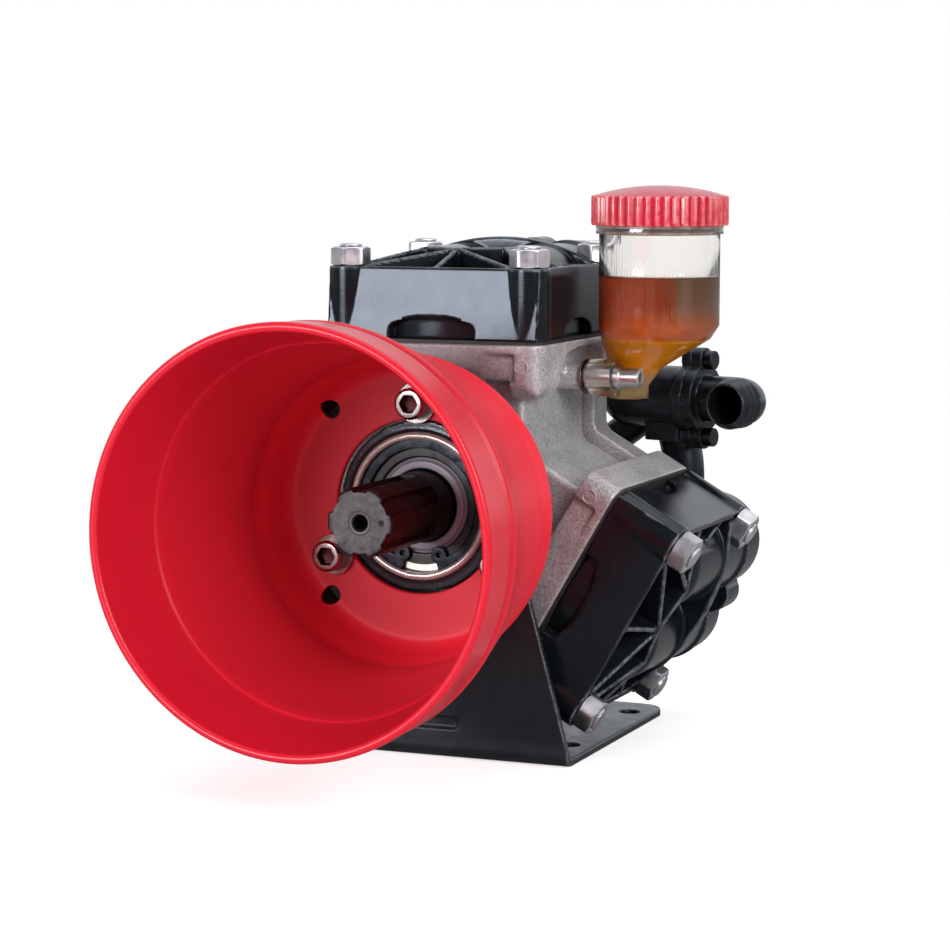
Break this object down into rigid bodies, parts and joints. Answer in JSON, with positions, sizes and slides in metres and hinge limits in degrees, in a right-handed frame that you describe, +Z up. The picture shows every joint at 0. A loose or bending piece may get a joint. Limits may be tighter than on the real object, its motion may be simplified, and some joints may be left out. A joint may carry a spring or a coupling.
{
  "type": "piston diaphragm pump",
  "caption": "Piston diaphragm pump with radial heads on a cast crankcase, splined input shaft in a bell guard, oil jar, suction elbow and sheet foot.",
  "frame": {"origin": "underside of the foot, straight below the shaft axis, in the plane of the head centres", "axes": "+Z up, the input shaft and the guard's mouth point to -Y, +X to the right seen from the shaft end"},
  "size_m": [0.2784, 0.3347, 0.2856],
  "materials": {
    "cast_aluminium": "as-cast grey, matte",
    "black_casting": "black coating, semi-gloss",
    "black_sheet": "black paint on bent sheet",
    "black_moulding": "black moulded plastic",
    "black_rubber": "matte",
    "zinc_steel": "zinc plated",
    "spring_steel": "dark spring steel",
    "shaft_steel": "dark machined steel",
    "red_plastic": "gloss red",
    "red_cap": "satin red",
    "clear_plastic": "clear",
    "oil": "liquid"
  },
  "bodies": {
    "pump": {"banjo_bolt": "zinc_steel", "crankcase": "cast_aluminium", "delivery_manifold": "black_moulding", "delivery_tail": "black_moulding", "drain_plug": "zinc_steel", "foot_bracket": "black_sheet", "guard_screws": "zinc_steel", "inlet_screws": "zinc_steel", "jar_cap": "red_cap", "left_diaphragm": "black_rubber", "left_head": "black_casting", "left_head_studs": "zinc_steel", "left_valve_cover": "black_casting", "oil": "oil", "oil_jar": "clear_plastic", "oil_seal": "black_rubber", "port_washer": "black_rubber", "rear_cover": "cast_aluminium", "rear_cover_screws": "zinc_steel", "rear_gasket": "black_rubber", "retaining_ring": "spring_steel", "right_diaphragm": "black_rubber", "right_head": "black_casting", "right_head_studs": "zinc_steel", "right_valve_cover": "black_casting", "shaft_guard": "red_plastic", "suction_elbow": "black_moulding", "suction_manifold": "black_moulding", "top_diaphragm": "black_rubber", "top_head": "black_casting", "top_head_studs": "zinc_steel", "top_valve_cover": "black_casting"},
    "shaft": {"drive_shaft": "shaft_steel"}
  },
  "joints": [
    {"name": "shaft_spin", "type": "hinge", "parent": "pump", "child": "shaft", "pos_m": [0, -0.1, 0.127], "axis": [0, -1, 0], "continuous": true}
  ]
}
